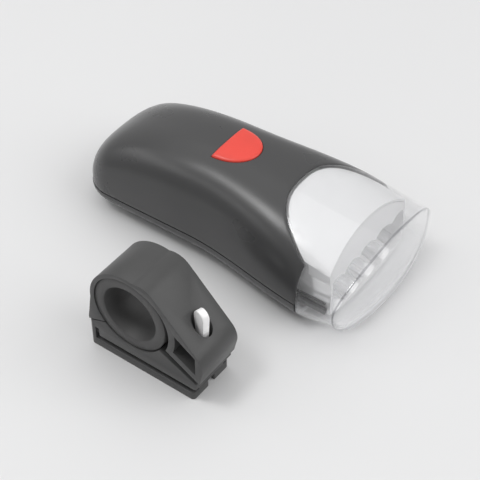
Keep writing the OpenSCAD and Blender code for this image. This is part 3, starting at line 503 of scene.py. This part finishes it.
BLACK = moulded("black_shell", (0.054, 0.054, 0.055), 0.28, grain=0.05, spread=0.01, tone=0.03, sheen=0.12)
BRACKET_BLACK = moulded("black_bracket", (0.06, 0.06, 0.06), 0.44, grain=0.18, tone=0.1, sheen=0.08)
LINER_BLACK = moulded("liner_black", (0.068, 0.067, 0.067), 0.52, grain=0.25, tone=0.1)
RED = moulded("red_button", (0.8, 0.065, 0.045), 0.36, tone=0.06)
# The lens carries a milky veil, painted light, strongest near its bottom over the floor's shadow
CLEAR_PAINTED_HAZE = clear("clear_lens_painted_haze", (0.99, 0.991, 0.993), 0.04, (0.45, 0.04))
# Front pane: a stronger milky veil, painted light
PANE_PAINTED_HAZE = clear("clear_pane_painted_haze", (0.995, 0.995, 0.996), 0.04, (0.4, 0.14))
# Grey tint of the rim tube: painted shade for the refraction at the lens edge
RIM_PAINTED_GREY = clear("clear_rim_painted_shade", (0.78, 0.78, 0.79), 0.05)
LED_CLEAR = clear("led_clear", (0.9, 0.9, 0.87), 0.05)
HOOD = metal("bright_reflector", (0.78, 0.78, 0.785), 0.45, 300.0, 0.0, 0.3)
# Paler, glossier copy of the reflector finish for its shaded side walls: the paler colour is painted light
SIDES_PAINTED_LIGHT = metal("reflector_sides_painted_light", (0.95, 0.95, 0.955), 0.16, 300.0, 0.0, 0.4)
BOWLS = metal("bright_bowls", (0.95, 0.95, 0.955), 0.16, 300.0, 0.0, 0.8)
STEEL = metal("steel", (0.6, 0.6, 0.61), 0.3)
BRIGHT_STEEL = metal("bright_steel", (0.97, 0.965, 0.965), 0.36, 700.0, 0.08, 0.1)
BRASS = metal("brass", (0.72, 0.53, 0.22), 0.3)
BOARD = moulded("board_green", (0.03, 0.14, 0.07), 0.4)
CHIP = moulded("chip_black", (0.015, 0.015, 0.015), 0.55)
CELL = moulded("cell_wrap", (0.5, 0.36, 0.08), 0.3)


# Upper shell

SHELL_RINGS = 120
SHELL_ROWS = [(i / SHELL_RINGS) ** 2.0 for i in range(SHELL_RINGS + 1)]
SHELL_STEPS = 120
SKIN_STEPS = 24
TIP = 0.02
TIP_SHIFT = 0.24
TIP_RUN = 10.0
ARM_OUT = half_w(EDGE_X) - SKIRT_IN - SKIRT_T - ARM_GAP


def tuck(x):
    """Moves the rear tip forward, to where the CAD shells begin."""
    return x + TIP_SHIFT * max(0.0, 1 - x / TIP_RUN) ** 2


def wall_at(x, edge):
    """Thickness of the wall: thinned towards its front edge."""
    ramp = (x - (edge - EDGE_LAP - EDGE_RAMP)) / EDGE_RAMP
    return WALL + (EDGE_T - WALL) * min(1.0, max(0.0, ramp))


def shell_ring(s, inner):
    """Ring of the upper shell, s of the way from its rear tip to its front edge."""
    start = TIP + (WALL if inner else 0.0)
    ring = []
    for j in range(SHELL_STEPS + 1):
        a = 180 * j / SHELL_STEPS
        edge = edge_at(a)
        x = start + (edge - start) * s
        x, y, z = section(x, a, wall_at(x, edge) if inner else 0.0)
        rise = (z - waist_z(x)) / PART_FADE
        ring.append((tuck(x), y, z + PART_LIFT * max(0.0, 1 - rise)))
    return ring


def half_moon(g, steps=96):
    """Outline of the button in plan, grown by g: straight at the rear, round in front, soft corners."""
    outline = []
    for i in range(steps):
        a = math.radians(-90 + 180 * i / (steps - 1))
        outline.append((
            BUTTON_X - g + (BUTTON_LEN + 2 * g) * max(0.0, math.cos(a)) ** BUTTON_Q,
            (BUTTON_W / 2 + g) * math.sin(a),
        ))
    rear = steps // 3
    hw = BUTTON_W / 2 + g
    outline += [(BUTTON_X - g, hw - 2 * hw * (i + 1) / (rear + 1)) for i in range(rear)]
    return outline


def prism(name, outline, z0, z1):
    n = len(outline)
    points = [(x, y, z) for z in (z0, z1) for x, y in outline]
    faces = [tuple(range(n)), tuple(n + i for i in reversed(range(n)))]
    faces += [(i, (i + 1) % n, n + (i + 1) % n, n + i) for i in range(n)]
    return make_object(name, points, faces)


def build_upper_shell():
    points, faces = half_shell(
        [shell_ring(s, False) for s in SHELL_ROWS],
        [shell_ring(s, True) for s in SHELL_ROWS],
    )
    obj = make_object("upper_shell_look", points, faces)
    soften(obj, 40, 0.25, 50, merge=False)
    cut_with(obj, [prism("button_hole", half_moon(BUTTON_GAP), CROWN_H - 12, CROWN_H + 5)])
    shade_smooth(obj, 30)
    dress(obj, "upper_shell", BLACK)


def build_lower_skin():
    """Smooth sides for the lower shell, over the facets of its CAD copy."""
    for name, first, last in (("near", 180, 236), ("far", 304, 360)):
        def ring(s, d):
            x = TIP + (EDGE_X - TIP) * s
            turns = [first + (last - first) * j / SKIN_STEPS for j in range(SKIN_STEPS + 1)]
            spots = [section(x, a, d) for a in turns]
            return [(tuck(px), py, pz) for px, py, pz in spots]

        points, faces = half_shell(
            [ring(s, -SKIN_PROUD) for s in SHELL_ROWS],
            [ring(s, SKIN_IN) for s in SHELL_ROWS],
        )
        obj = make_object(f"lower_{name}_look", points, faces)
        shade_smooth(obj, 40)
        dress(obj, "lower_shell", BLACK)


def build_upper_arms():
    """The upper shell's pair of snap arms, seen through the lens, and their roots inside the shell."""
    low = part_z(EDGE_X) + ARM_CLEAR + ARM_LIFT
    rear = EDGE_X - ARM_ROOT
    root = (EDGE_X - SKIRT_LEN - 1, half_w(rear) - WALL / 2)
    points, faces = [], []
    for side in (-1, 1):
        for front, far in ((ARM_TIP, ARM_OUT), root):
            y0, y1 = sorted((side * far, side * (ARM_OUT - ARM_LOOK_T)))
            base = len(points)
            points += [(x, y, z) for x in (rear, front) for y in (y0, y1) for z in (low, low + ARM_H)]
            box = [(0, 1, 3, 2), (4, 6, 7, 5), (0, 4, 5, 1), (2, 3, 7, 6), (0, 2, 6, 4), (1, 5, 7, 3)]
            faces += [tuple(base + i for i in face) for face in box]
    obj = make_object("upper_arms_look", points, faces)
    soften(obj, 30, 0.2, 40)
    dress(obj, "upper_shell", BLACK)


def build_bosses():
    """The upper shell's four bosses, which the shell screws bite into."""
    turns = 48
    for x in (CREST_X - SCREW_REAR, EDGE_X - SCREW_AHEAD):
        for side in (-1, 1):
            y = side * (half_w(x) - SCREW_INSET)
            ring = [2 * math.pi * i / turns for i in range(turns)]
            outline = [(x + BOSS_R * math.cos(a), y + BOSS_R * math.sin(a)) for a in ring]
            top = roof_at(x, abs(y) + BOSS_R) - WALL / 2
            end = "rear" if x < CREST_X else "front"
            hand = "near" if side < 0 else "far"
            obj = prism(f"boss_{end}_{hand}_look", outline, part_z(x) + PART_LIFT, top)
            shade_smooth(obj, 50)
            dress(obj, "upper_shell", BLACK)


# Button

def build_button():
    outline = half_moon(0.0)
    cx = BUTTON_X + 0.42 * BUTTON_LEN
    round_w = 1.6
    round_h = 0.72
    insets = [4.2, 3.0, 2.2, 1.6, 1.3, 1.0, 0.75, 0.5, 0.33, 0.2, 0.1, 0.03, 0.0]

    def ring(inset, d):
        out = []
        for x, y in outline:
            reach = math.hypot(x - cx, y)
            k = max(0.0, 1 - inset / reach)
            px, py = cx + (x - cx) * k, y * k
            out.append((px, py, roof_at(px, py, d)))
        return out

    def height(inset):
        out = max(0.0, 1 - inset / round_w)
        return BUTTON_PROUD - round_h * (1 - math.sqrt(1 - out * out))

    rings = [ring(inset, -height(inset)) for inset in insets]
    lip = WALL + FLANGE_GAP
    rings += [ring(0.0, 0.4), ring(0.0, 1.2), ring(0.0, lip)]
    rings += [ring(-FLANGE_W, lip), ring(-FLANGE_W, lip + FLANGE_T)]
    top = (cx, 0, roof_at(cx, 0, -BUTTON_PROUD))
    bottom = (cx, 0, roof_at(cx, 0, lip + FLANGE_T))
    obj = make_object("button_look", *skin(rings, top, bottom))
    shade_smooth(obj, 50)
    dress(obj, "button", RED)


# Lens

LOOP = 160
LOOP_ANGLES = [360 * j / LOOP for j in range(LOOP)]


def build_lens():
    """The clear cup with its tongue and skirt. Its front pane has a stronger milky veil than the rest,
    painted light over the shade seen through it.
    """
    def back(a):
        return edge_at(a) + LENS_SEAM

    def side(t, d, cut):
        ring = []
        for a in LOOP_ANGLES:
            stop = bow_x(section(SIDE_LEN, a, d)[1]) - cut
            ring.append(section(back(a) + (stop - back(a)) * t, a, d))
        return ring

    def behind(by, d):
        return [section(back(a) + by, a, d) for a in LOOP_ANGLES]

    def face(k, d, cut):
        ring = []
        for a in LOOP_ANGLES:
            _, y, z = section(SIDE_LEN, a, d)
            ring.append((bow_x(y * k) - cut, y * k, RIM_Z + (z - RIM_Z) * k))
        return ring

    inside = SKIRT_IN + SKIRT_T
    bead = []
    for i in range(9):
        turn = math.pi * i / 8
        bead.append(face(1, -RIM_BEAD * math.sin(turn), BEAD_X * (1 - math.cos(turn))))
    rings = [face(k, 0, 0) for k in (0.12, 0.25, 0.4, 0.55, 0.7, 0.85, 0.95, 0.985)]
    rings += bead
    rings += [side(1 - i / 20, 0, 2.2) for i in range(20)]
    rings += [behind(0.5, 0.0), behind(0.2, 0.06), behind(0.05, 0.2), behind(0, 0.5)]
    rings += [behind(0, SKIRT_IN), behind(-SKIRT_LEN, SKIRT_IN), behind(-SKIRT_LEN, inside)]
    rings += [behind(-1, inside), behind(0.3, inside), behind(0.7, LENS_T)]
    rings += [side(0.15 + 0.85 * i / 16, LENS_T, LENS_T + 0.6) for i in range(17)]
    rings += [face(k, LENS_T, LENS_T) for k in (0.985, 0.95, 0.85, 0.7, 0.55, 0.4, 0.25, 0.12)]
    front = (bow_x(0), 0, RIM_Z)
    rear = (bow_x(0) - LENS_T, 0, RIM_Z)
    obj = make_object("lens_look", *skin(rings, front, rear))
    shade_smooth(obj, 50)
    dress(obj, "lens", CLEAR_PAINTED_HAZE)
    obj.data.materials.append(PANE_PAINTED_HAZE)
    for part in obj.data.polygons:
        if abs(part.normal.x) > 0.8 and part.center.x > (SIDE_LEN - LAMP_MID - LENS_T) * MM:
            part.material_index = 1


def build_lens_rim():
    """The round edge of the lens rim: a clear tube with a grey tint, painted shade for the darkening that
    refraction gives at the rounded edge.
    """
    turns = 12
    points, faces = [], []
    for a in LOOP_ANGLES:
        core = RIM_TUBE + RIM_TUBE_TOP * smooth(0.5 + math.sin(math.radians(a)))
        _, y0, z0 = section(SIDE_LEN, a, 0.0)
        _, y1, z1 = section(SIDE_LEN, a, -RIM_BEAD)
        out = Vector((0, y1 - y0, z1 - z0)).normalized()
        mid = Vector((bow_x(y1) - BEAD_X, y1, z1)) - out * (core + 0.02)
        for k in range(turns):
            t = 2 * math.pi * k / turns
            points.append(tuple(mid + Vector((math.cos(t), 0, 0)) * core + out * (math.sin(t) * core)))
    for j in range(LOOP):
        a, b = j * turns, (j + 1) % LOOP * turns
        for k in range(turns):
            h = (k + 1) % turns
            faces.append((a + k, b + k, b + h, a + h))
    obj = make_object("lens_rim_look", points, faces)
    shade_smooth(obj, 60)
    dress(obj, "lens", RIM_PAINTED_GREY)


# Hood of the reflector

HOOD_FIRST = 24
HOOD_STEPS = 90
HOOD_RINGS = 40


def build_hood():
    """The bright hood close under the lens, over the reflector's CAD copy."""
    hw = ARM_OUT - ARM_T - HOOD_GAP

    def ring(t, d, hw):
        out = []
        for j in range(HOOD_STEPS + 1):
            a = HOOD_FIRST + (180 - 2 * HOOD_FIRST) * j / HOOD_STEPS
            back = edge_at(a) + LENS_SEAM + HOOD_SETBACK
            front = REFLECTOR_X - HOOD_LEAN * math.sin(math.radians(a)) ** 2
            x, y, z = section(back + (front - back) * t, a, d)
            out.append((x, max(-hw, min(hw, y)), z))
        return out

    steps = [i / HOOD_RINGS for i in range(HOOD_RINGS + 1)]
    points, faces = half_shell(
        [ring(t, HOOD_D, hw) for t in steps],
        [ring(t, HOOD_D + HOOD_T, hw - HOOD_T) for t in steps],
    )
    obj = make_object("hood_look", points, faces)
    shade_smooth(obj, 30)
    dress(obj, "reflector", HOOD)


# Pieces that keep their CAD shape

def build_cad_pieces():
    """Copies of the CAD nodes. The reflector is satin on top and mirror-bright in its bowls; its side
    walls, in shade, get a paler colour, painted light, and a glossier finish.
    """
    cad_copy("lower_shell", BLACK, 0.25, 28, 60)
    reflector = cad_copy("reflector", HOOD, 0.0, 30)
    reflector.data.materials.append(BOWLS)
    reflector.data.materials.append(SIDES_PAINTED_LIGHT)
    for face in reflector.data.polygons:
        # Side walls in shade take the paler copy: painted light
        if abs(face.normal.y) > 0.6:
            face.material_index = 2
        elif face.normal.z < 0.05 or face.center.z < BOWL_Z * MM:
            face.material_index = 1
    for i in range(1, 6):
        cad_copy(f"led_{i}", LED_CLEAR)
    for i in range(1, 5):
        cad_copy(f"cell_{i}", CELL, 0.1)
    for node in ("led_board", "control_board"):
        cad_copy(node, BOARD, 0.1)
    for node in ("shell_screws", "head_screws", "contacts_front", "contacts_rear", "tact_switch"):
        cad_copy(node, STEEL, 0.1)
    cad_copy("control_chip", CHIP)
    cad_copy("switch_plunger", CHIP, 0.15)
    cad_copy("battery_tray", BLACK, 0.2)
    cad_copy("bracket_base", BRACKET_BLACK, 0.3)
    cad_copy("clamp_strap", BRACKET_BLACK, 0.55)
    cad_copy("hinge_pin", STEEL, 0.15)
    cad_copy("thumb_screw", BRIGHT_STEEL, 0.3)
    for node in ("screw_washer", "screw_clip"):
        cad_copy(node, STEEL, 0.1)
    cad_copy("threaded_insert", BRASS, 0.2)


# Liner

BAR_R = 11.1
LINER_R = 15.2
BORE = (8.5, -68.5, 25.3)
LINER_HL = 9.4


def build_liner():
    """The liner with its slit pinched shut, as it sits in the strap."""
    soft = 0.25
    profile = [
        (BAR_R + soft, -LINER_HL), (LINER_R - soft, -LINER_HL), (LINER_R, -LINER_HL + soft),
        (LINER_R, LINER_HL - soft), (LINER_R - soft, LINER_HL), (BAR_R + soft, LINER_HL),
        (BAR_R, LINER_HL - soft), (BAR_R, -LINER_HL + soft),
    ]
    n = len(profile)
    turns = 128
    points, faces = [], []
    for i in range(turns):
        t = 2 * math.pi * i / turns
        points += [(BORE[0] + r * math.cos(t), BORE[1] + y, BORE[2] + r * math.sin(t)) for r, y in profile]
    for i in range(turns):
        a, b = i * n, (i + 1) % turns * n
        faces += [(a + k, b + k, b + (k + 1) % n, a + (k + 1) % n) for k in range(n)]
    obj = make_object("liner_look", points, faces, lamp=False)
    shade_smooth(obj, 50)
    dress(obj, "liner", LINER_BLACK)


# Studio

CAMERA_AZIMUTH = 36.2
CAMERA_ELEVATION = 44.2
CAMERA_DISTANCE = 0.51485
CAMERA_TARGET = Vector((0.00187, -0.006, 0.0))
FOCAL_PIXELS = 1352
IMAGE_PIXELS = 480
FLOOR_DARK = (0.74, 0.74, 0.745)
FLOOR_LIGHT = (0.76, 0.76, 0.763)
SKY_AXIS = (-0.3, 0.4, 0.866)
SKY_STOPS = [(0.0, (0.3, 0.3, 0.3)), (0.9, (0.68, 0.68, 0.68))]
LAMPS = [
    ("top_softbox", (-0.25, 0.0, 1.1), (1.4, 1.4), 2.8),
    ("front_softbox", (0.9, 0.3, 0.75), (1.0, 1.0), 5.4),
    ("shoulder_light", (-0.42, -0.4, 1.05), (0.3, 0.3), 3.0),
    ("side_strip", (-0.84, -0.54, 0.62), (0.9, 0.2), 1.1),
]


def build_camera():
    a = math.radians(CAMERA_AZIMUTH)
    e = math.radians(CAMERA_ELEVATION)
    back = Vector((math.sin(a) * math.cos(e), -math.cos(a) * math.cos(e), math.sin(e)))
    data = bpy.data.cameras.new("camera")
    data.sensor_width = 36
    data.lens = FOCAL_PIXELS * data.sensor_width / IMAGE_PIXELS
    data.clip_start = 0.01
    camera = bpy.data.objects.new("camera", data)
    camera.location = CAMERA_TARGET + back * CAMERA_DISTANCE
    camera.rotation_euler = (-back).to_track_quat("-Z", "Y").to_euler()
    scene.collection.objects.link(camera)
    scene.camera = camera


def build_floor():
    size = 3000
    points = [(-size, -size, 0), (size, -size, 0), (size, size, 0), (-size, size, 0)]
    floor = make_object("floor", points, [(0, 1, 2, 3)], lamp=False)
    mat, tree, shader = new_material("floor_pale", (0.75, 0.75, 0.753), 0.7)
    tone = add_ramp(tree, add_noise(tree, 2.0), [(NOISE_LOW, FLOOR_DARK), (NOISE_HIGH, FLOOR_LIGHT)])
    tree.links.new(tone, shader.inputs["Base Color"])
    floor.data.materials.append(mat)


def area_light(name, place, size, power):
    """A soft rectangular lamp that faces the middle of the floor."""
    data = bpy.data.lights.new(name, "AREA")
    data.shape = "RECTANGLE"
    data.size, data.size_y = size
    data.energy = power
    light = bpy.data.objects.new(name, data)
    light.location = place
    light.rotation_euler = (-Vector(place)).to_track_quat("-Z", "Y").to_euler()
    scene.collection.objects.link(light)


def build_light():
    world = bpy.data.worlds.new("studio")
    scene.world = world
    world.use_nodes = True
    tree = world.node_tree
    coords = tree.nodes.new("ShaderNodeTexCoord")
    tilt = tree.nodes.new("ShaderNodeVectorMath")
    tilt.operation = "DOT_PRODUCT"
    tilt.inputs[1].default_value = SKY_AXIS
    tree.links.new(coords.outputs["Generated"], tilt.inputs[0])
    sky = add_ramp(tree, tilt.outputs["Value"], SKY_STOPS)
    tree.links.new(sky, tree.nodes["Background"].inputs["Color"])
    tree.nodes["Background"].inputs["Strength"].default_value = 1.0
    for lamp in LAMPS:
        area_light(*lamp)
    scene.view_settings.view_transform = "Standard"


build_upper_shell()
build_lower_skin()
build_upper_arms()
build_bosses()
build_button()
build_lens()
build_lens_rim()
build_hood()
build_cad_pieces()
build_liner()
build_camera()
build_floor()
build_light()
